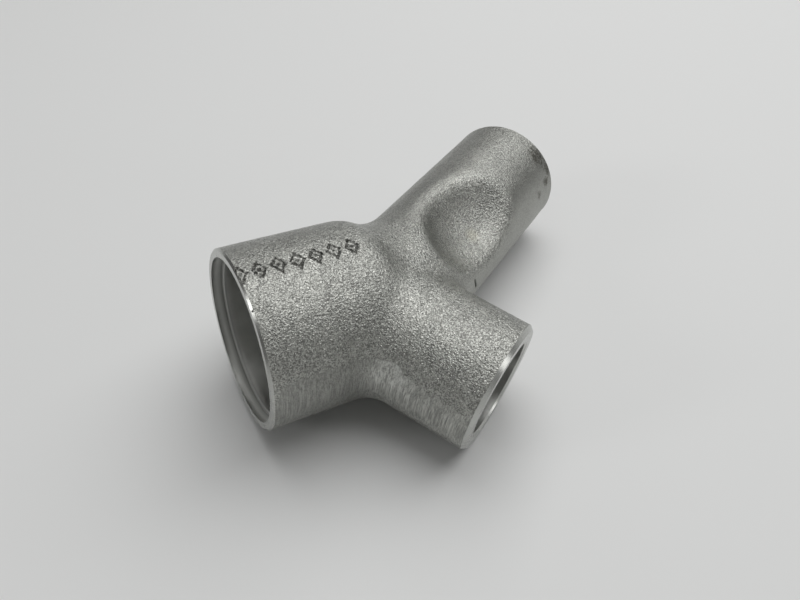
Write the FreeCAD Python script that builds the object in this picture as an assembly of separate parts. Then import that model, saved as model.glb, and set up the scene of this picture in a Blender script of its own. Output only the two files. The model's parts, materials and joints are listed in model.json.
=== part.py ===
import FreeCAD, Part
import math
import os

# A three-way fitting for pipes, sand-cast in aluminium as one piece and machined at its mouths.
# The axes of its three legs lie in one plane, the parting plane of the casting. While the form is
# built, that plane is level, the main leg's mouth is centred on the origin and its axis is +X.
# All lengths are in millimetres and all angles in degrees.

# Main leg: a wide, thin-walled socket with a rounded shoulder at its closed end
main_diameter = 50.0
main_straight_length = 32.0
main_shoulder_radius = 12.0
main_rim_bevel = 0.6

# The side legs' axes cross at one point, near the end of the main leg and a little beside its axis
crossing_depth = 37.0
crossing_offset = 4.7

# Long arm, measured from the crossing to its mouth
arm_diameter = 38.0
arm_length = 86.2
arm_angle = 30.0

# Short branch, measured from the crossing to its mouth
branch_diameter = 38.0
branch_length = 41.4
arm_to_branch_angle = 90.0

# Machined bevel round the outside of each side leg's mouth
side_rim_bevel = 1.2

# Fillets in the valleys: where each side leg leaves the main leg, and where the two meet
arm_valley_radius = 20.0
branch_valley_radius = 10.0
crotch_radius = 5.0

# Main socket: a shallow recess, and the bore that holds the pipe, its edge lightly chamfered
recess_diameter = 45.2
recess_depth = 3.0
socket_edge_chamfer = 0.3
main_bore_diameter = 43.0
main_bore_depth = 24.0

# Bores at the mouths of the side legs
arm_bore_diameter = 28.0
arm_bore_depth = 18.0
branch_bore_diameter = 28.0
branch_bore_depth = 18.0
bore_edge_chamfer = 0.6

# Cored passages behind the bores, the widest with a coned end below the shoulder
chamber_wall = 4.5
arm_passage_diameter = 26.0
branch_passage_diameter = 26.0

# Spherical hollow in the arm, on its upper side and turned towards the branch
hollow_sphere_radius = 26.5
hollow_depth = 8.5
hollow_distance = 37.0
hollow_turn = 30.0
hollow_edge_radius = 4.0
hollow_wall = 4.0

# Gap below which two surfaces count as touching, and the passes that settle the fitting at rest
touching_gap = 0.001
settling_passes = 30

origin = FreeCAD.Vector(0, 0, 0)
up = FreeCAD.Vector(0, 0, 1)
main_axis = FreeCAD.Vector(1, 0, 0)


def level_direction(angle):
    """Unit vector in the parting plane, turned from the main axis by an angle."""
    turn = math.radians(angle)
    return FreeCAD.Vector(math.cos(turn), math.sin(turn), 0)


crossing = FreeCAD.Vector(crossing_depth, -crossing_offset, 0)
arm_axis = level_direction(arm_angle)
branch_axis = level_direction(arm_angle - arm_to_branch_angle)
arm_mouth = crossing + arm_axis * arm_length
branch_mouth = crossing + branch_axis * branch_length


def lies_on(form, point):
    """Whether a point is on the skin of a form."""
    return form.Shells[0].distToShape(Part.Vertex(point))[0] < touching_gap


def edges_on(solid, forms):
    """Edges of a solid that lie on the skin of every one of some forms."""
    found = []
    for edge in solid.Edges:
        span = edge.LastParameter - edge.FirstParameter
        points = [edge.valueAt(edge.FirstParameter + span * share) for share in (0.25, 0.5, 0.75)]
        if all(lies_on(form, point) for form in forms for point in points):
            found.append(edge)
    return found


def rim_edge(solid, mouth, radius):
    """The circular edge of a given radius round a mouth."""
    for edge in solid.Edges:
        if not isinstance(edge.Curve, Part.Circle):
            continue
        if (edge.Curve.Center - mouth).Length < touching_gap and abs(edge.Curve.Radius - radius) < touching_gap:
            return edge


def round_ended_plug(radius, straight_length, end_radius):
    """A plug along the main axis, turned from a profile whose far corner is an arc."""
    arc_centre = FreeCAD.Vector(straight_length, radius - end_radius, 0)
    near_corner = FreeCAD.Vector(0, radius, 0)
    arc_start = arc_centre + FreeCAD.Vector(0, end_radius, 0)
    arc_middle = arc_centre + level_direction(45) * end_radius
    arc_end = arc_centre + FreeCAD.Vector(end_radius, 0, 0)
    axis_end = FreeCAD.Vector(arc_end.x, 0, 0)
    profile = Part.Wire([
        Part.makeLine(origin, near_corner),
        Part.makeLine(near_corner, arc_start),
        Part.Arc(arc_start, arc_middle, arc_end).toShape(),
        Part.makeLine(arc_end, axis_end),
        Part.makeLine(axis_end, origin),
    ])
    return Part.Face(profile).revolve(origin, main_axis, 360)


def cone_ended_plug(radius, straight_length, end_length):
    """A plug along the main axis whose far end narrows at 45 degrees."""
    cone_start = main_axis * straight_length
    straight = Part.makeCylinder(radius, straight_length, origin, main_axis)
    cone = Part.makeCone(radius, radius - end_length, end_length, cone_start, main_axis)
    return straight.fuse(cone)


def rounded(solid, groups):
    """Fillet groups of edges of a solid together, each group with its own radius."""
    document = FreeCAD.newDocument()
    base = document.addObject("Part::Feature", "Base")
    base.Shape = solid
    rounding = document.addObject("Part::Fillet", "Rounding")
    rounding.Base = base
    rounding.Edges = [
        (number, radius, radius)
        for radius, edges in groups
        for number, edge in enumerate(solid.Edges, start=1)
        if any(edge.isSame(chosen) for chosen in edges)
    ]
    document.recompute()
    result = rounding.Shape.copy()
    FreeCAD.closeDocument(document.Name)
    return result


def arm_cylinder(radius):
    """A round bar along the arm's axis, from the crossing to the mouth."""
    return Part.makeCylinder(radius, arm_length, crossing, arm_axis)


def branch_cylinder(radius):
    """A round bar along the branch's axis, from the crossing to the mouth."""
    return Part.makeCylinder(radius, branch_length, crossing, branch_axis)


def three_legs():
    """The three legs as one solid, with each valley between them rounded."""
    main = round_ended_plug(main_diameter / 2, main_straight_length, main_shoulder_radius)
    arm = arm_cylinder(arm_diameter / 2)
    branch = branch_cylinder(branch_diameter / 2)
    legs = main.fuse([arm, branch]).removeSplitter()
    return rounded(legs, [
        (arm_valley_radius, edges_on(legs, [main, arm])),
        (branch_valley_radius, edges_on(legs, [main, branch])),
        (crotch_radius, edges_on(legs, [arm, branch])),
    ])


def hollow_sphere(radius):
    """A sphere about the hollow's centre, with its seam and poles turned away from the arm."""
    turn = math.radians(hollow_turn)
    outward = up * math.cos(turn) + branch_axis * math.sin(turn)
    centre_height = arm_diameter / 2 - hollow_depth + hollow_sphere_radius
    centre = crossing + arm_axis * hollow_distance + outward * centre_height
    sphere = Part.makeSphere(radius)
    sphere.Placement = FreeCAD.Placement(centre, FreeCAD.Rotation(outward, origin, arm_axis, "XZY"))
    return sphere


def outer_form():
    """The casting as it looks from outside, before anything is opened."""
    legs = three_legs()
    sphere = hollow_sphere(hollow_sphere_radius)
    form = legs.cut(sphere)
    form = form.makeFillet(hollow_edge_radius, edges_on(form, [sphere, legs]))
    side_rims = [
        rim_edge(form, arm_mouth, arm_diameter / 2),
        rim_edge(form, branch_mouth, branch_diameter / 2),
    ]
    form = form.makeChamfer(side_rim_bevel, side_rims)
    return form.makeChamfer(main_rim_bevel, [rim_edge(form, origin, main_diameter / 2)])


def cored_passages():
    """The sand core: a chamber in the main leg and a passage along each side leg."""
    chamber_radius = main_diameter / 2 - chamber_wall
    chamber = cone_ended_plug(chamber_radius, main_straight_length, main_shoulder_radius - chamber_wall)
    passages = [
        arm_cylinder(arm_passage_diameter / 2),
        branch_cylinder(branch_passage_diameter / 2),
    ]
    return chamber.fuse(passages).cut(hollow_sphere(hollow_sphere_radius + hollow_wall))


def bore(mouth, outward, radius, depth, edge_chamfer):
    """A machined hole that runs in from a mouth, with its edge chamfered."""
    hole = Part.makeCylinder(radius, depth, mouth, -outward)
    chamfer = Part.makeCone(radius + edge_chamfer, radius, edge_chamfer, mouth, -outward)
    return hole.fuse(chamfer)


def main_socket():
    """The main bore with the shallow recess in front of it."""
    recess = Part.makeCylinder(recess_diameter / 2, recess_depth, origin, main_axis)
    recess_floor = origin + main_axis * recess_depth
    bore_length = main_bore_depth - recess_depth
    return recess.fuse(bore(recess_floor, -main_axis, main_bore_diameter / 2, bore_length, socket_edge_chamfer))


def lowest_of_ring(centre, axis, radius, upward):
    """Lowest point of a circle about an axis, for a given upward direction."""
    downward = axis * upward.dot(axis) - upward
    downward.normalize()
    return centre + downward * radius


def upward_at_rest():
    """Upward direction once the fitting stands on its shoulder and on the rims of both side legs."""
    shoulder_centre = origin + main_axis * main_straight_length
    shoulder_ring = main_diameter / 2 - main_shoulder_radius
    arm_rim = arm_mouth - arm_axis * side_rim_bevel
    branch_rim = branch_mouth - branch_axis * side_rim_bevel
    upward = up
    for settling_pass in range(settling_passes):
        heel = lowest_of_ring(shoulder_centre, main_axis, shoulder_ring, upward) - upward * main_shoulder_radius
        arm_foot = lowest_of_ring(arm_rim, arm_axis, arm_diameter / 2, upward)
        branch_foot = lowest_of_ring(branch_rim, branch_axis, branch_diameter / 2, upward)
        upward = (branch_foot - heel).cross(arm_foot - heel)
        upward.normalize()
    return upward


def set_down(form):
    """Turn a form to its rest, with the main axis over +X, and centre its box on the ground."""
    upward = upward_at_rest()
    forward = main_axis - upward * main_axis.dot(upward)
    rest = FreeCAD.Rotation(forward, origin, upward, "ZXY").inverted()
    turned = form.transformed(FreeCAD.Placement(origin, rest).Matrix)
    box = turned.optimalBoundingBox(False, False)
    turned.translate(FreeCAD.Vector(-box.Center.x, -box.Center.y, -box.ZMin))
    return turned


def fitting_body():
    """The whole fitting: outer form, less its cored passages and machined bores."""
    openings = [
        cored_passages(),
        main_socket(),
        bore(arm_mouth, arm_axis, arm_bore_diameter / 2, arm_bore_depth, bore_edge_chamfer),
        bore(branch_mouth, branch_axis, branch_bore_diameter / 2, branch_bore_depth, bore_edge_chamfer),
    ]
    return set_down(outer_form().cut(openings))


os.makedirs("parts", exist_ok=True)
fitting_body().exportStep("parts/fitting_body.step")
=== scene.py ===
import json
import math

import bmesh
import bpy
import numpy as np
from mathutils import Matrix, Quaternion, Vector


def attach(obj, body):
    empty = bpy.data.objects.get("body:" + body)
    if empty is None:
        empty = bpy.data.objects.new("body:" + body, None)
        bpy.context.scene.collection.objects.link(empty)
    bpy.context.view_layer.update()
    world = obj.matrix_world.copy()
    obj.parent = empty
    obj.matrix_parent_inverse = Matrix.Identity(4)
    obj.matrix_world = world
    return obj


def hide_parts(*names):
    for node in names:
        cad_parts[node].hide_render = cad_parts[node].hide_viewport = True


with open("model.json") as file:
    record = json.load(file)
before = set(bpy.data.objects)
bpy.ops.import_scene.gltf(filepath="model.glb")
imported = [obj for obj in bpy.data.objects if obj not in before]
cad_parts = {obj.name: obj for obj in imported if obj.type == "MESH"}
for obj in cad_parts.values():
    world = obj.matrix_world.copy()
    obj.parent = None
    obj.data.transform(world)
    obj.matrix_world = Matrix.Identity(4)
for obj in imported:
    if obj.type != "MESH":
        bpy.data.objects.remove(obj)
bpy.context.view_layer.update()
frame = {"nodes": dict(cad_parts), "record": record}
mm = 0.001


# The casting and its three legs.
# The fitting is one casting in aluminium. It was made in a two-part sand mould, and the axes of its
# three legs lie in the parting plane, so every pattern below is laid out from that plane.
casting = frame["nodes"]["fitting_body"]
casting_corners = np.array([vertex.co for vertex in casting.data.vertices])
mounts = {mount["name"]: mount for mount in frame["record"]["mounts"]}


def unit(vectors):
    """Vectors scaled to a length of one."""
    vectors = np.asarray(vectors, float)
    return vectors / np.linalg.norm(vectors, axis=-1, keepdims=True)


class Leg:
    """One leg of the fitting: the middle of its mouth, its axis, and the line that was turned there.
    The line runs from the rim to the bore's end, as steps of radius and depth."""

    def __init__(self, mount_name, rim_radius, rim_bevel, steps):
        mount = mounts[mount_name]
        middle = np.array(mount["pos_m"])
        self.outward = unit(mount["axis"])
        self.mouth = middle + self.outward * ((casting_corners - middle) @ self.outward).max()
        self.bore_radius = mount["dims"]["r_mm"] * mm
        self.bore_end = (self.mouth - middle) @ self.outward + mount["dims"]["length_mm"] * mm / 2
        self.rim_radius = rim_radius
        self.rim_bevel = rim_bevel
        self.steps = steps + [(self.bore_radius, self.bore_end)]

    def depth(self, points):
        """How far points lie behind the plane of the mouth."""
        return (self.mouth - points) @ self.outward

    def radius(self, points):
        """How far points lie from the leg's axis."""
        away = points - self.mouth
        return np.linalg.norm(away - np.outer(away @ self.outward, self.outward), axis=1)

    def turn(self):
        """The turn that carries the upright axis onto this leg's own."""
        return Vector((0, 0, 1)).rotation_difference(Vector(self.outward))


# The main leg has a shallow recess in front of its bore, and every bore has a chamfered edge
recess_depth = 3 * mm
main_chamfer_end = 3.3 * mm
main_steps = [
    (22.6 * mm, 0),
    (22.6 * mm, recess_depth),
    (21.8 * mm, recess_depth),
    (21.5 * mm, main_chamfer_end),
]
side_steps = [(14.6 * mm, 0), (14 * mm, 0.6 * mm)]
main_leg = Leg("main_socket", rim_radius=25 * mm, rim_bevel=0.6 * mm, steps=main_steps)
arm = Leg("arm_bore", rim_radius=19 * mm, rim_bevel=1.2 * mm, steps=side_steps)
branch = Leg("branch_bore", rim_radius=19 * mm, rim_bevel=1.2 * mm, steps=side_steps)
legs = [main_leg, arm, branch]

along_main = -main_leg.outward
above_parting = unit(np.cross(along_main, arm.outward))
across_main = np.cross(above_parting, along_main)
casting_axes = np.array([along_main, across_main, above_parting])


def in_casting(points):
    """Points laid out from the main leg's mouth, in millimetres: along the main leg, across it in the
    parting plane, and above that plane."""
    return (np.asarray(points) - main_leg.mouth) @ casting_axes.T / mm


def name_places(mesh):
    """Gives a mesh its points' places in the casting, for the patterns that follow. Returns the
    points and the places."""
    points = np.empty(len(mesh.vertices) * 3, np.float32)
    mesh.vertices.foreach_get("co", points)
    if "casting" not in mesh.attributes:
        mesh.attributes.new("casting", "FLOAT_VECTOR", "POINT")
    places = in_casting(points.reshape(-1, 3)).astype(np.float32)
    mesh.attributes["casting"].data.foreach_set("vector", places.ravel())
    return points.reshape(-1, 3), places


# The rough form.
# Sand casting leaves one unbroken skin, so the three legs are first stopped up and their outside is
# remade as one even net, fine enough for the slow waves of the mould.
weld_distance = 0.002 * mm
plug_length = 8 * mm
plug_overlap = 2.5 * mm
plug_sides = 256
net_size = 0.65 * mm
net_smoothing = 8

# The hollow in the arm's side and the soft lip round it. Lengths and places without mm are in the
# casting's own millimetres, here and wherever a pattern is laid out.
hollow_centre, hollow_radius = (78.3, -2.2, 32.0), 26.5
lip_below_arm = 0.8
lip_width = 5.0
lip_fade = 2.0
lip_smoothing = 60

# Where the net is finer: the row of sunken marks on top of the main leg, the slit in the crotch,
# and three pits, each with its middle, its radius and its depth
fine_cuts = 2
main_radius = main_leg.rim_radius / mm
mark_row_start = -1.7
mark_pitch = 4.95
mark_count = 7
mark_width = 3.4
mark_height = 5.0
slit_ends = [(70.9, -7.0, 1.4), (70.1, -7.0, 4.4)]
pits = [
    ((27.0, -22.2, 10.5), 0.55, 0.35),
    ((29.7, -23.0, 10.4), 0.45, 0.25),
    ((0.2, -10.3, 22.7), 0.45, 0.5),
]
fine_lowest = 20
fine_mark_share = 0.62
fine_slit_reach = 3.2
fine_pit_radii = 2.5


def is_fine(places):
    """Whether places in the casting need the finer net."""
    from_top = np.abs(np.arctan2(places[:, 1], places[:, 2])) * main_radius
    row_end = mark_row_start + mark_pitch * mark_count
    fine = (places[:, 0] < row_end) & (from_top < mark_height * fine_mark_share)
    fine &= places[:, 2] > fine_lowest
    slit_middle = np.mean(slit_ends, axis=0)
    fine |= np.linalg.norm(places - slit_middle, axis=1) < fine_slit_reach
    for centre, radius, depth in pits:
        fine |= np.linalg.norm(places - centre, axis=1) < radius * fine_pit_radii
    return fine


def made_plain(piece):
    """Works a piece's modifiers into its mesh and takes them off."""
    graph = bpy.context.evaluated_depsgraph_get()
    mesh = bpy.data.meshes.new_from_object(piece.evaluated_get(graph))
    piece.modifiers.clear()
    piece.data = mesh


def smooth(piece, passes, group=""):
    """Smooths a piece, or only one group of its points, and makes it plain."""
    smoothing = piece.modifiers.new("smoothing", "SMOOTH")
    smoothing.factor = 0.5
    smoothing.iterations = passes
    smoothing.vertex_group = group
    made_plain(piece)


stopped = bmesh.new()
stopped.from_mesh(casting.data)
bmesh.ops.remove_doubles(stopped, verts=stopped.verts, dist=weld_distance)
for leg in legs:
    plug_middle = leg.mouth + leg.outward * (plug_length / 2 - plug_overlap)
    plug_place = Matrix.Translation(plug_middle) @ leg.turn().to_matrix().to_4x4()
    bmesh.ops.create_cone(stopped, cap_ends=True, segments=plug_sides, radius1=leg.rim_radius,
                          radius2=leg.rim_radius, depth=plug_length, matrix=plug_place)
stopped_mesh = bpy.data.meshes.new("stopped_form")
stopped.to_mesh(stopped_mesh)
stopped.free()
form = bpy.data.objects.new("fitting_form", stopped_mesh)
bpy.context.scene.collection.objects.link(form)

net = form.modifiers.new("net", "REMESH")
net.mode = "VOXEL"
net.voxel_size = net_size
smooth(form, net_smoothing)

# The lip of the hollow is softer than the other edges
points, places = name_places(form.data)
from_hollow = np.abs(np.linalg.norm(places - hollow_centre, axis=1) - hollow_radius)
from_arm = np.abs(arm.radius(points) / mm - arm.rim_radius / mm + lip_below_arm)
from_lip = np.maximum(from_hollow, from_arm)
lip = form.vertex_groups.new(name="lip")
for index in np.flatnonzero(from_lip < lip_width):
    softness = min(1.0, (lip_width - from_lip[index]) / lip_fade)
    lip.add([int(index)], float(softness), "REPLACE")
smooth(form, lip_smoothing, "lip")
form.vertex_groups.clear()

finer = bmesh.new()
finer.from_mesh(form.data)
face_middles = np.array([face.calc_center_median() for face in finer.faces])
fine_faces = [face for face, fine in zip(finer.faces, is_fine(in_casting(face_middles))) if fine]
fine_edges = list(dict.fromkeys(edge for face in fine_faces for edge in face.edges))
bmesh.ops.subdivide_edges(finer, edges=fine_edges, cuts=fine_cuts, use_grid_fill=True)
bmesh.ops.triangulate(finer, faces=finer.faces)
finer.to_mesh(form.data)
finer.free()
name_places(form.data)


# The cast skin.
# The mould leaves slow waves and lumps in the skin. A row of marks was pressed into the mould above
# the main leg, the parting line was dressed on a grinder, and a slit is left in the crotch.
mould_sizes = {
    "Wave Depth": 0.10,
    "Wave Length": 9.0,
    "Lump Depth": 0.035,
    "Lump Length": 2.6,
    "Row Start": mark_row_start,
    "Mark Pitch": mark_pitch,
    "Mark Count": float(mark_count),
    "Mark Width": mark_width,
    "Mark Height": mark_height,
    "Mark Stroke": 0.45,
    "Mark Depth": 0.42,
    "Ground Half Width": 6.8,
    "Ground Depth": 0.1,
    "Slit Depth": 0.8,
    "Slit Half Width": 0.4,
    "Seed": 7.0,
}

# Each mark sits a little above or below the row's line, and its strokes are ragged
mark_wander = 0.12
mark_wander_step = 2.399
mark_raggedness = 0.24
mark_lowest = 15.0
dent_radius, dent_floor_radius = 0.75, 0.3

# The ground band is wider in the valley beside the branch and narrower on the arm's far side
band_edge_wander = 0.9
band_fade = 1.2
band_swell = 2.2
far_band_loss = 1.3


def level_direction(angle):
    """A direction in the parting plane, turned from the main leg's axis by an angle in degrees."""
    turn = math.radians(angle)
    return (math.cos(turn), math.sin(turn), 0.0)


crossing = (37.0, -4.7, 0.0)
arm_direction = level_direction(30)
branch_direction = level_direction(-60)
valley_direction = (-0.35, -0.94, 0.0)


class Sum:
    """A number in a node tree. Plain sums with it add the nodes that work them out."""

    def __init__(self, tree, socket):
        self.tree = tree
        self.socket = socket

    def maths(self, operation, *others, swapped=False):
        """Adds a node that works out one sum with the number."""
        node = self.tree.nodes.new("ShaderNodeMath")
        node.operation = operation
        values = [*others, self] if swapped else [self, *others]
        for socket, value in zip(node.inputs, values):
            give(self.tree, socket, value)
        return Sum(self.tree, node.outputs[0])

    def __add__(self, other):
        return self.maths("ADD", other)

    def __sub__(self, other):
        return self.maths("SUBTRACT", other)

    def __rsub__(self, other):
        return self.maths("SUBTRACT", other, swapped=True)

    def __mul__(self, other):
        return self.maths("MULTIPLY", other)

    def __truediv__(self, other):
        return self.maths("DIVIDE", other)

    def __rtruediv__(self, other):
        return self.maths("DIVIDE", other, swapped=True)

    def __neg__(self):
        return self * -1

    def size(self):
        """The number without its sign."""
        return self.maths("ABSOLUTE")

    def least(self, other):
        return self.maths("MINIMUM", other)

    def most(self, other):
        return self.maths("MAXIMUM", other)

    def ramp(self, start, end, low=0.0, high=1.0):
        """Goes smoothly from low to high as the number goes from start to end."""
        node = self.tree.nodes.new("ShaderNodeMapRange")
        node.interpolation_type = "SMOOTHSTEP"
        for socket, value in zip(node.inputs, (self, start, end, low, high)):
            give(self.tree, socket, value)
        return Sum(self.tree, node.outputs["Result"])


class Place(Sum):
    """A place or direction in a node tree."""

    def vectors(self, operation, *others, output="Vector"):
        """Adds a node that works out one sum with the place."""
        node = self.tree.nodes.new("ShaderNodeVectorMath")
        node.operation = operation
        for socket, value in zip(node.inputs, (self, *others)):
            give(self.tree, socket, value)
        return node.outputs[output]

    def __sub__(self, other):
        return Place(self.tree, self.vectors("SUBTRACT", other))

    def __mul__(self, other):
        return Place(self.tree, self.vectors("MULTIPLY", other))

    def along(self, direction):
        """How far the place lies along a direction."""
        return Sum(self.tree, self.vectors("DOT_PRODUCT", direction, output="Value"))

    def length(self):
        return Sum(self.tree, self.vectors("LENGTH", output="Value"))

    def parts(self):
        """The place's three numbers."""
        node = self.tree.nodes.new("ShaderNodeSeparateXYZ")
        give(self.tree, node.inputs[0], self)
        return [Sum(self.tree, output) for output in node.outputs]

    def noise(self, wavelength, detail=0.0, seed=0.0, roughness=0.5):
        """Cloudy noise from 0 to 1 over the place, with a given length of wave."""
        node = self.tree.nodes.new("ShaderNodeTexNoise")
        node.noise_dimensions = "4D"
        give(self.tree, node.inputs["Vector"], self)
        give(self.tree, node.inputs["W"], seed)
        give(self.tree, node.inputs["Scale"], 1.0 / wavelength)
        give(self.tree, node.inputs["Detail"], detail)
        give(self.tree, node.inputs["Roughness"], roughness)
        return Sum(self.tree, node.outputs[0])


def give(tree, socket, value):
    """Gives a socket a number, a place, or what another node puts out."""
    if isinstance(value, Sum):
        tree.links.new(value.socket, socket)
    else:
        socket.default_value = value


def mould_tree():
    """Builds the tree that presses the mould's marks and waves into a form."""
    tree = bpy.data.node_groups.new("mould", "GeometryNodeTree")
    panel = tree.interface
    panel.new_socket("Form", in_out="INPUT", socket_type="NodeSocketGeometry")
    panel.new_socket("Skin", in_out="OUTPUT", socket_type="NodeSocketGeometry")
    panel.new_socket("Finish", in_out="INPUT", socket_type="NodeSocketMaterial")
    for name, size in mould_sizes.items():
        panel.new_socket(name, in_out="INPUT", socket_type="NodeSocketFloat").default_value = size
    start = tree.nodes.new("NodeGroupInput")
    given = {name: Sum(tree, start.outputs[name]) for name in mould_sizes}

    reader = tree.nodes.new("GeometryNodeInputNamedAttribute")
    reader.data_type = "FLOAT_VECTOR"
    reader.inputs["Name"].default_value = "casting"
    place = Place(tree, reader.outputs["Attribute"])
    x, y, z = place.parts()
    seed = given["Seed"]

    # Waves and lumps, always into the metal
    waves = place.noise(given["Wave Length"], 1.0, seed).ramp(0.25, 0.75) * given["Wave Depth"]
    lumps = place.noise(given["Lump Length"], 1.0, seed + 3.0).ramp(0.2, 0.8) * given["Lump Depth"]

    # Row of marks on top of the main leg: the outline of a lozenge with a small dent in its middle
    column = (x - given["Row Start"]) / given["Mark Pitch"]
    number = column.maths("FLOOR")
    across = (column - number - 0.5) * given["Mark Pitch"]
    wander = (number * mark_wander_step).maths("SINE") * mark_wander
    height = y.maths("ARCTAN2", z) * main_radius + wander
    half_width, half_height = given["Mark Width"] / 2.0, given["Mark Height"] / 2.0
    slope = (half_width * half_width + half_height * half_height).maths("SQRT")
    past_outline = across.size() / half_width + height.size() / half_height - 1.0
    to_outline = past_outline * half_width * half_height / slope
    ragged = place.noise(0.7, 1.0, seed + 11.0).ramp(0.3, 0.7, -mark_raggedness, mark_raggedness)
    stroke = given["Mark Stroke"]
    outline = (to_outline.size() + ragged).ramp(stroke, stroke * 0.35)
    from_middle = (across * across + height * height).maths("SQRT")
    dent = (from_middle + ragged).ramp(dent_radius, dent_floor_radius)
    in_row = number.maths("GREATER_THAN", -0.5) * number.maths("LESS_THAN", given["Mark Count"] - 0.5)
    in_row = in_row * z.maths("GREATER_THAN", mark_lowest)
    press = place.noise(6.0, 0.0, seed + 5.0).ramp(0.3, 0.7, 0.75, 1.0)
    marks = outline.most(dent * 0.8) * in_row * press

    # Parting line dressed on a grinder: lightly along the main leg, and harder along the branch on the
    # near side and along the arm on the far side. Between them it stops short of the arm and the
    # branch, and in the valley it swells.
    from_crossing = place - crossing
    on_arm = from_crossing.along(arm_direction)
    on_branch = from_crossing.along(branch_direction)
    pressed = on_branch.ramp(11.5, 13.0, 0.6, 1.0).most(on_arm.ramp(18.0, 24.0, 0.6, 1.0))
    ragged_edge = place.noise(3.0, 2.0, seed + 17.0).ramp(0.3, 0.7, -band_edge_wander, band_edge_wander)
    from_edge = given["Ground Half Width"].least(x * 2.0) - z.size()
    in_valley = from_crossing.along(valley_direction).ramp(15.0, 20.0) * on_branch.ramp(22.0, 18.0)
    near = (from_edge + in_valley * band_swell).least(-on_arm).least(-y - 5.0)
    far = (from_edge - far_band_loss).least(-on_branch).least(y - 4.0)
    in_band = near.most(far) + ragged_edge * (1.0 - in_valley * 0.7)
    ground = in_band.ramp(0.0, band_fade) * pressed

    # Slit in the crotch between the arm and the branch, and three pits: two by the socket's valley
    # and a nick in the socket's rim
    slit_start, slit_run = Vector(slit_ends[0]), Vector(slit_ends[1]) - Vector(slit_ends[0])
    from_slit = place - tuple(slit_start)
    share = (from_slit.along(tuple(slit_run)) / slit_run.length_squared).most(0.0).least(1.0)
    nearest = Place(tree, share.socket) * tuple(slit_run)
    slit_width = given["Slit Half Width"]
    slit = (from_slit - nearest).length().ramp(slit_width * 1.7, slit_width * 0.6)
    sunk = marks * given["Mark Depth"] + slit * given["Slit Depth"]
    dark = marks.most(slit)
    for centre, radius, depth in pits:
        pit = (place - centre).length().ramp(radius, radius * 0.3)
        sunk = sunk + pit * depth
        dark = dark.most(pit)

    inward = (waves + lumps) * (1.0 - ground * 0.8) + ground * given["Ground Depth"] + sunk
    normal = Place(tree, tree.nodes.new("GeometryNodeInputNormal").outputs[0])
    shift = tree.nodes.new("ShaderNodeVectorMath")
    shift.operation = "SCALE"
    give(tree, shift.inputs[0], normal)
    give(tree, shift.inputs["Scale"], inward * -mm)
    shifted = tree.nodes.new("GeometryNodeSetPosition")
    tree.links.new(start.outputs["Form"], shifted.inputs["Geometry"])
    tree.links.new(shift.outputs[0], shifted.inputs["Offset"])

    skin = shifted.outputs[0]
    for name, value in (("ground", in_band), ("pressed", pressed), ("sunken", dark)):
        store = tree.nodes.new("GeometryNodeStoreNamedAttribute")
        store.data_type = "FLOAT"
        store.domain = "POINT"
        store.inputs["Name"].default_value = name
        give(tree, store.inputs["Value"], value)
        tree.links.new(skin, store.inputs["Geometry"])
        skin = store.outputs[0]
    for kind in ("GeometryNodeRealizeInstances", "GeometryNodeSetMaterial"):
        node = tree.nodes.new(kind)
        tree.links.new(skin, node.inputs["Geometry"])
        skin = node.outputs[0]
    tree.links.new(start.outputs["Finish"], node.inputs["Material"])
    tree.links.new(skin, tree.nodes.new("NodeGroupOutput").inputs["Skin"])
    return tree


cast_finish = bpy.data.materials.new("cast_skin")
cast_finish.use_nodes = True
mould = form.modifiers.new("mould", "NODES")
mould.node_group = mould_tree()
sockets = mould.node_group.interface.items_tree
mould[sockets["Finish"].identifier] = cast_finish
made_plain(form)


# The turned mouths.
# A lathe faced each mouth, broke its outer and inner edges and bored it for the pipe. One closed
# tool shape per leg is cut out of the form, and the cored passages behind the bores as well.
turning_segments = 192
turning_step = 1.5 * mm
tool_clearance = 3 * mm
facing_height = 8 * mm
core_reach = 2 * mm
face_slack = 0.01 * mm
edge_slack = 0.1 * mm
turned_mark, cored_mark = 1, 2
turned_finish = bpy.data.materials.new("turned_aluminium")
turned_finish.use_nodes = True


def tool_line(leg):
    """The tool's line from the axis in front of the mouth, round its rim, to the axis behind the
    bore, as radii and depths. Long runs are divided so that the turned rings stay even."""
    corners = [
        (0, -facing_height),
        (leg.rim_radius + tool_clearance, -facing_height),
        (leg.rim_radius + tool_clearance, leg.rim_bevel + tool_clearance),
        (leg.rim_radius - leg.rim_bevel, 0),
        *leg.steps,
        (0, leg.bore_end),
    ]
    line = [corners[0]]
    for (r0, d0), (r1, d1) in zip(corners, corners[1:]):
        count = max(1, round(math.hypot(r1 - r0, d1 - d0) / turning_step)) if d0 >= 0 and r1 > 0 else 1
        line += [(r0 + (r1 - r0) * k / count, d0 + (d1 - d0) * k / count) for k in range(1, count + 1)]
    return line


def add_turned(shape, leg):
    """Adds a leg's closed tool shape, turned from its line."""
    turn = leg.turn()
    rings = []
    for radius, depth in tool_line(leg):
        centre = Vector(leg.mouth - leg.outward * depth)
        ring = []
        for step in range(turning_segments if radius else 1):
            angle = 2 * math.pi * step / turning_segments
            spoke = turn @ Vector((math.cos(angle), math.sin(angle), 0))
            ring.append(shape.verts.new(centre + spoke * radius))
        rings.append(ring)
    for first, second in zip(rings, rings[1:]):
        for step in range(turning_segments):
            following = (step + 1) % turning_segments
            corners = [first[step % len(first)], first[following % len(first)],
                       second[following % len(second)], second[step % len(second)]]
            shape.faces.new(list(dict.fromkeys(corners)))


def nearest_leg(point):
    """The leg whose bore ends nearest to a point."""
    point = np.array(point)
    return min(legs, key=lambda leg: np.linalg.norm(leg.mouth - leg.outward * leg.bore_end - point))


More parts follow.
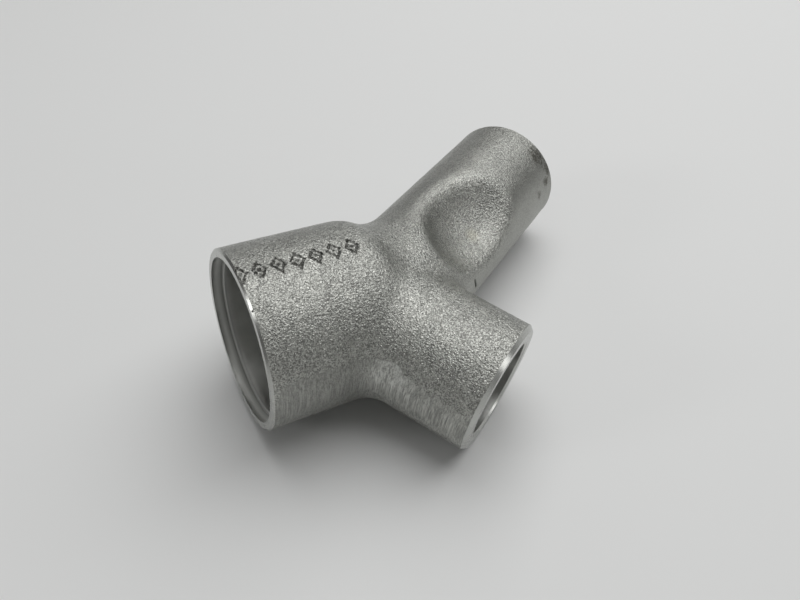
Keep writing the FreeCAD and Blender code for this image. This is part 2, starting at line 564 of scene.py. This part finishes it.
def is_in_bore(edge):
    """Whether an edge lies inside the end of a bore."""
    points = np.array([vertex.co for vertex in edge.verts])
    leg = nearest_leg(points[0])
    inside = (leg.radius(points) < leg.bore_radius) & (leg.depth(points) < leg.bore_end + edge_slack)
    return inside.all()


def is_turned(face):
    """Whether a face of the casting lies on a leg's outside, its rim or its bore, as far as the
    bore's end."""
    points = np.array([vertex.co for vertex in face.verts])
    for leg in legs:
        in_depth = leg.depth(points) < leg.bore_end + face_slack
        in_reach = leg.radius(points) < leg.rim_radius + face_slack
        if (in_depth & in_reach).all():
            return True
    return False


def add_core(shape):
    """Adds the cored passages: the casting's inner walls behind the bores, closed by short plugs that
    reach forward into the bores."""
    shape.from_mesh(casting.data)
    bmesh.ops.remove_doubles(shape, verts=shape.verts, dist=weld_distance)
    turned = [face for face in shape.faces if is_turned(face)]
    bmesh.ops.delete(shape, geom=turned, context="FACES")

    rims = [edge for edge in shape.edges if edge.is_boundary]
    inner_walls, found = set(), [edge.link_faces[0] for edge in rims if is_in_bore(edge)]
    while found:
        face = found.pop()
        if face not in inner_walls:
            inner_walls.add(face)
            found += [other for edge in face.edges for other in edge.link_faces]
    outer_walls = [face for face in shape.faces if face not in inner_walls]
    bmesh.ops.delete(shape, geom=outer_walls, context="FACES")

    rims = [edge for edge in shape.edges if edge.is_boundary]
    for part in bmesh.ops.extrude_edge_only(shape, edges=rims)["geom"]:
        if isinstance(part, bmesh.types.BMVert):
            part.co += Vector(nearest_leg(part.co).outward) * core_reach
    bmesh.ops.holes_fill(shape, edges=[edge for edge in shape.edges if edge.is_boundary])
    bmesh.ops.recalc_face_normals(shape, faces=shape.faces)


def cut_out(name, shape, mark):
    """Cuts a closed shape out of the form. The faces that it leaves there carry its mark."""
    mesh = bpy.data.meshes.new(name)
    shape.to_mesh(mesh)
    shape.free()
    mesh.attributes.new("finish", "INT", "FACE").data.foreach_set("value", [mark] * len(mesh.polygons))
    cutter = bpy.data.objects.new(name, mesh)
    bpy.context.scene.collection.objects.link(cutter)
    cut = form.modifiers.new(name, "BOOLEAN")
    cut.operation = "DIFFERENCE"
    cut.solver = "MANIFOLD"
    cut.object = cutter
    made_plain(form)
    bpy.data.objects.remove(cutter)


lathe_tools = bmesh.new()
for leg in legs:
    add_turned(lathe_tools, leg)
bmesh.ops.recalc_face_normals(lathe_tools, faces=lathe_tools.faces)
sand_core = bmesh.new()
add_core(sand_core)
form.data.attributes.new("finish", "INT", "FACE")
cut_out("lathe_tools", lathe_tools, turned_mark)
cut_out("sand_core", sand_core, cored_mark)


# The finished piece.
# The form takes the casting's place. Its turned faces get the lathe's finish, with crisp edges, and
# carry how far the tool had travelled, for the fine rings that it leaves.
crease_angle = math.radians(25)
turned_slack = 1 * mm
corner_slack = 0.05 * mm
rim_face_depth = 0.3 * mm
mesh = form.data
points = name_places(mesh)[0]
finishes = np.empty(len(mesh.polygons), np.int32)
mesh.attributes["finish"].data.foreach_get("value", finishes)
mesh.materials.clear()
mesh.materials.append(cast_finish)
mesh.materials.append(turned_finish)
mesh.polygons.foreach_set("material_index", (finishes == turned_mark).astype(np.int32))
mesh.polygons.foreach_set("use_smooth", np.ones(len(mesh.polygons), bool))


def store(name, values):
    """Stores a number at each of the mesh's points."""
    attribute = mesh.attributes.new(name, "FLOAT", "POINT")
    attribute.data.foreach_set("value", values.astype(np.float32))


# The bores are brighter than the faces, most of all in the main leg. This is partly cleaner bored metal
# and partly painted light, standing in for the light reflected inside the main bore.
travel = np.zeros(len(points))
bored = np.zeros(len(points))
for leg, polish_and_painted_light in ((main_leg, 1.0), (arm, 0.4), (branch, 0.4)):
    depths, radii = leg.depth(points), leg.radius(points)
    before_end = depths < leg.bore_end + turned_slack
    near = before_end & (radii < leg.rim_radius + turned_slack)
    inside = before_end & (depths > rim_face_depth) & (radii < leg.steps[0][0] + edge_slack)
    travel[near] = ((depths - radii) / mm)[near]
    bored[inside] = polish_and_painted_light
# The inner corner where the main leg's recess steps down to its bore, which gets painted shade
depths, radii = main_leg.depth(points), main_leg.radius(points)
in_corner = (depths > recess_depth - corner_slack) & (depths < main_chamfer_end + corner_slack)
in_corner &= radii > main_leg.bore_radius - edge_slack
store("tool_travel", travel)
store("inner_corner", in_corner)
store("bored", bored)

edged = bmesh.new()
edged.from_mesh(mesh)
finish_of = edged.faces.layers.int["finish"]
for edge in edged.edges:
    one, two = edge.link_faces
    differs = one[finish_of] != two[finish_of]
    is_crisp = one[finish_of] > 0 and edge.calc_face_angle(0) > crease_angle
    edge.smooth = not (differs or is_crisp)
edged.to_mesh(mesh)
edged.free()
for name in ("finish", "custom_normal"):
    mesh.attributes.remove(mesh.attributes[name])
form.name = "cast_fitting"
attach(form, "root")
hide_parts("fitting_body")


# The metal's finishes.
# The skin keeps the grain of the sand it was cast in, duller in its pits. Grinding leaves a brighter
# band of fine scratches, and the lathe leaves fine rings in brighter metal still.


def named(tree, name, kind, output):
    """Reads an attribute of the surface."""
    node = tree.nodes.new("ShaderNodeAttribute")
    node.attribute_name = name
    return kind(tree, node.outputs[output])


def group_of(name, inputs, outputs):
    """Starts a shader group with named inputs and outputs."""
    tree = bpy.data.node_groups.new(name, "ShaderNodeTree")
    for title, kind in inputs.items():
        tree.interface.new_socket(title, in_out="INPUT", socket_type=kind)
    for title in outputs:
        tree.interface.new_socket(title, in_out="OUTPUT", socket_type="NodeSocketFloat")
    start, end = tree.nodes.new("NodeGroupInput"), tree.nodes.new("NodeGroupOutput")
    kinds = {"NodeSocketVector": Place, "NodeSocketFloat": Sum}
    return tree, [kinds[kind](tree, start.outputs[title]) for title, kind in inputs.items()], end


def placed(tree, group, *values):
    """Places a group in a material with its own values."""
    node = tree.nodes.new("ShaderNodeGroup")
    node.node_tree = group
    for socket, value in zip(node.inputs, values):
        give(tree, socket, value)
    return [Sum(tree, output) for output in node.outputs]


def sand_grain_group():
    """The grain of moulding sand, as a height and as the pits between its grains."""
    inputs = {"Place": "NodeSocketVector", "Grain Size": "NodeSocketFloat", "Seed": "NodeSocketFloat"}
    tree, (place, size, seed), end = group_of("sand_grain", inputs, ["Height", "Pits"])
    coarse = place.noise(size, 1.0, seed, 0.7)
    fine = place.noise(size * 0.45, 1.0, seed + 4.0, 0.7)
    height = coarse.ramp(0.2, 0.8) * 0.6 + fine.ramp(0.2, 0.8) * 0.4
    give(tree, end.inputs["Height"], height)
    give(tree, end.inputs["Pits"], height.ramp(0.45, 0.2))
    return tree


def metal_tone_group():
    """Slow patches of brighter and duller metal."""
    inputs = {"Place": "NodeSocketVector", "Patch Size": "NodeSocketFloat", "Seed": "NodeSocketFloat"}
    tree, (place, size, seed), end = group_of("metal_tone", inputs, ["Tone"])
    give(tree, end.inputs["Tone"], place.noise(size, 2.0, seed, 0.6).ramp(0.3, 0.7))
    return tree


sand_grain = sand_grain_group()
metal_tone = metal_tone_group()


def between(tree, low, high, share):
    """A colour between two, by a share."""
    node = tree.nodes.new("ShaderNodeMix")
    node.data_type = "RGBA"
    give(tree, node.inputs[0], share)
    for socket, colour in ((node.inputs[6], low), (node.inputs[7], high)):
        if isinstance(colour, tuple):
            socket.default_value = (*colour, 1)
        else:
            tree.links.new(colour, socket)
    return node.outputs[2]


def dress(finish, colour, roughness, height, relief):
    """Joins a finish's colour, roughness and height to its shader."""
    tree = finish.node_tree
    shader = tree.nodes["Principled BSDF"]
    shader.inputs["Metallic"].default_value = 1.0
    tree.links.new(colour, shader.inputs["Base Color"])
    give(tree, shader.inputs["Roughness"], roughness)
    bump = tree.nodes.new("ShaderNodeBump")
    bump.inputs["Strength"].default_value = 1.0
    bump.inputs["Distance"].default_value = relief
    give(tree, bump.inputs["Height"], height)
    tree.links.new(bump.outputs[0], shader.inputs["Normal"])


# The skin as it came from the sand. A share says how far its colour goes from dark to bright.
grain_size = 0.52
grain_relief = 0.225 * mm
speck_size = 0.36
speck_share, tone_share, least_share = 0.64, 0.12, 0.15
skin_bright, skin_dark = (0.60, 0.606, 0.568), (0.13, 0.131, 0.122)
sunken_dark = (0.06, 0.06, 0.055)
smooth_share = 0.45
skin_roughness = 0.305

# The ground band, with a patch in the valley painted brighter still
scratch_size = 0.38
scratch_stretch = 0.04
scratch_relief = 0.5
ground_grain_loss = 0.75
ground_bright, ground_dark = (0.60, 0.606, 0.57), (0.22, 0.222, 0.21)
patch_place, patch_reach, patch_core = (31.0, -28.5, 7.0), 9.0, 2.0
patch_bright = (0.80, 0.81, 0.775)

# Soot by the arm's mouth, each spot with its middle and reach, and a tan smear in the hollow
soot_spots = [
    ((113.5, 27.2, 15.5), 8.0),
    ((117.4, 24.2, 11.5), 5.0),
    ((115.5, 21.0, 9.0), 3.5),
    ((110.8, 17.5, 7.0), 3.0),
]
soot, soot_strength = (0.10, 0.097, 0.08), 0.95
smear_place, smear_reach = (77.1, 7.8, 7.6), 3.5
smear_tint, smear_strength = (0.47, 0.45, 0.36), 0.35

tree = cast_finish.node_tree
place = named(tree, "casting", Place, "Vector")
grain, grain_pits = placed(tree, sand_grain, place, grain_size, 2.0)
tone = placed(tree, metal_tone, place, 7.0, 5.0)[0]
specks = place.noise(speck_size, 1.0, 51.0, 0.6).ramp(0.36, 0.64)

# Grinding takes most of the grain away, and the arm's flank came smoother from the mould
in_patch = (place - patch_place).length().ramp(patch_reach, patch_core)
band_edge = place.noise(0.9, 2.0, 21.0, 0.7).ramp(0.3, 0.7, -0.4, 0.4) * (1.0 - in_patch)
pressed = named(tree, "pressed", Sum, "Fac")
ground = (named(tree, "ground", Sum, "Fac") + band_edge).ramp(0.1, 0.45) * pressed
scratches = (place * (1.0, 1.0, scratch_stretch)).noise(scratch_size, 3.0, 9.0, 0.8).ramp(0.35, 0.65)
from_crossing = place - crossing
on_arm = from_crossing.along(arm_direction).ramp(18.0, 28.0)
on_flank = from_crossing.along(branch_direction).ramp(8.0, 15.0, 0.2, 0.7)
outside_hollow = (place - hollow_centre).length().ramp(hollow_radius + 0.5, hollow_radius + 3.0)
left_grain = (1.0 - ground * ground_grain_loss) * (1.0 - on_arm * on_flank * outside_hollow)
lost_grain = 1.0 - left_grain
height = grain * left_grain + scratches * ground * scratch_relief

grain_share = specks * speck_share + tone * tone_share + least_share
skin_share = grain_share * left_grain + lost_grain * smooth_share
colour = between(tree, skin_dark, skin_bright, skin_share)
ground_colour = between(tree, ground_dark, ground_bright, scratches * 0.9 + pressed * 0.75 - 0.6)
ground_colour = between(tree, ground_colour, patch_bright, in_patch * (scratches * 0.9 + 0.1))
colour = between(tree, colour, ground_colour, ground)
speckle = place.noise(0.9, 3.0, 41.0, 0.8)
for middle, reach in soot_spots:
    sooted = (place - middle).length().ramp(reach, 0.0) * 1.2 + speckle * 3.0 - 1.9
    colour = between(tree, colour, soot, sooted.ramp(0.0, 0.9) * soot_strength)
smeared = (place - smear_place).length().ramp(smear_reach, 0.5) * smear_strength
colour = between(tree, colour, smear_tint, smeared)
# The marks, the slit and the pits are painted darker, in blotches
sunken_blotches = place.noise(0.6, 1.0, 61.0).ramp(0.3, 0.6, 0.6, 1.0)
sunken = named(tree, "sunken", Sum, "Fac").ramp(0.1, 0.7) * sunken_blotches
colour = between(tree, colour, sunken_dark, sunken)
roughness = tone * -0.04 + grain_pits * 0.1 + skin_roughness + lost_grain * 0.15
dress(cast_finish, colour, roughness, height, grain_relief)

# The lathe's finish. The bores, the recess and its inner corner are rougher by what they add, and the
# inner corner is painted with shade.
ring_pitch = 0.16
ring_relief = 0.008 * mm
faced_bright, faced_dark = (0.56, 0.566, 0.54), (0.40, 0.405, 0.385)
# The bores' colours, brightened partly with painted light
bored_bright, bored_dark = (0.78, 0.785, 0.76), (0.60, 0.605, 0.585)
painted_shade_colour, painted_shade_share = (0.12, 0.12, 0.114), 0.35
faced_roughness = 0.2
bored_roughness = 0.1
corner_roughness = 0.3
recess_roughness = 0.4

tree = turned_finish.node_tree
place = named(tree, "casting", Place, "Vector")
travelled = tree.nodes.new("ShaderNodeCombineXYZ")
give(tree, travelled.inputs[0], named(tree, "tool_travel", Sum, "Fac"))
rings = Place(tree, travelled.outputs[0]).noise(ring_pitch, 3.0, 3.0, 0.6)
tone = placed(tree, metal_tone, place, 4.0, 8.0)[0]
streaks = tone * 0.25 + rings * 0.75
bored = named(tree, "bored", Sum, "Fac")
inner_corner = named(tree, "inner_corner", Sum, "Fac")
in_recess = place.along((1.0, 0.0, 0.0)).ramp(3.2, 2.8) * bored
faced_colour = between(tree, faced_dark, faced_bright, streaks)
bored_colour = between(tree, bored_dark, bored_bright, streaks)
colour = between(tree, faced_colour, bored_colour, bored)
# Painted shade in the inner corner of the main leg's recess
colour = between(tree, colour, painted_shade_colour, inner_corner * painted_shade_share)
roughness = rings * 0.08 + tone * 0.05 + faced_roughness + bored * bored_roughness
roughness = roughness + inner_corner * corner_roughness + in_recess * recess_roughness
dress(turned_finish, colour, roughness, rings, ring_relief)


# The floor.
# A plain pale sheet of paper that the fitting lies on.
floor_half = 1.5
floor_corners = [
    (-floor_half, -floor_half, 0),
    (floor_half, -floor_half, 0),
    (floor_half, floor_half, 0),
    (-floor_half, floor_half, 0),
]
floor_mesh = bpy.data.meshes.new("floor")
floor_mesh.from_pydata(floor_corners, [], [(0, 1, 2, 3)])
floor = bpy.data.objects.new("floor", floor_mesh)
bpy.context.scene.collection.objects.link(floor)
paper = bpy.data.materials.new("pale_paper")
paper.use_nodes = True
paper_shader = paper.node_tree.nodes["Principled BSDF"]
paper_shader.inputs["Base Color"].default_value = (0.74, 0.745, 0.74, 1)
paper_shader.inputs["Roughness"].default_value = 0.7
floor_mesh.materials.append(paper)


# The light.
# One wide soft lamp hangs overhead, a little behind and to the right. Three small ones stand round
# it: two to the left, one high and one low, and one low at the front right. The room is dim.


def lamp(name, size, power, place):
    """A square lamp that faces the fitting."""
    light = bpy.data.lights.new(name, "AREA")
    light.shape = "SQUARE"
    light.size = size
    light.energy = power
    stand = bpy.data.objects.new(name, light)
    bpy.context.scene.collection.objects.link(stand)
    stand.location = place
    stand.rotation_euler = (-Vector(place)).to_track_quat("-Z", "Y").to_euler()


lamp("wide_lamp", size=1.4, power=14.1, place=(0.43, 0.20, 1.10))
lamp("left_lamp", size=0.6, power=0.45, place=(-0.410, 0, 1.128))
lamp("low_lamp", size=0.25, power=0.9, place=(-1.05, 0.185, 0.53))
lamp("front_lamp", size=0.34, power=0.95, place=(1.08, -1.00, 0.18))
room = bpy.data.worlds.new("room")
bpy.context.scene.world = room
room.use_nodes = True
room_light = room.node_tree.nodes["Background"]
room_light.inputs["Color"].default_value = (1, 1, 0.985, 1)
room_light.inputs["Strength"].default_value = 0.15


# The camera.
# Held above the fitting, in front of the socket and a little to its left.
camera_place = Vector((-78.0595, -126.3507, 168.7711)) * mm
camera_target = Vector((-11.1896, -4.0668, 22.0)) * mm
camera_roll = math.radians(0.308)
camera_data = bpy.data.cameras.new("camera")
camera_data.lens = 31.1727
camera_data.sensor_width = 36
camera_data.clip_start = 0.01
camera = bpy.data.objects.new("camera", camera_data)
bpy.context.scene.collection.objects.link(camera)
camera.location = camera_place
facing = (camera_target - camera_place).to_track_quat("-Z", "Y")
camera.rotation_euler = (facing @ Quaternion((0, 0, 1), camera_roll)).to_euler()
bpy.context.scene.camera = camera
bpy.context.scene.view_settings.view_transform = "Standard"
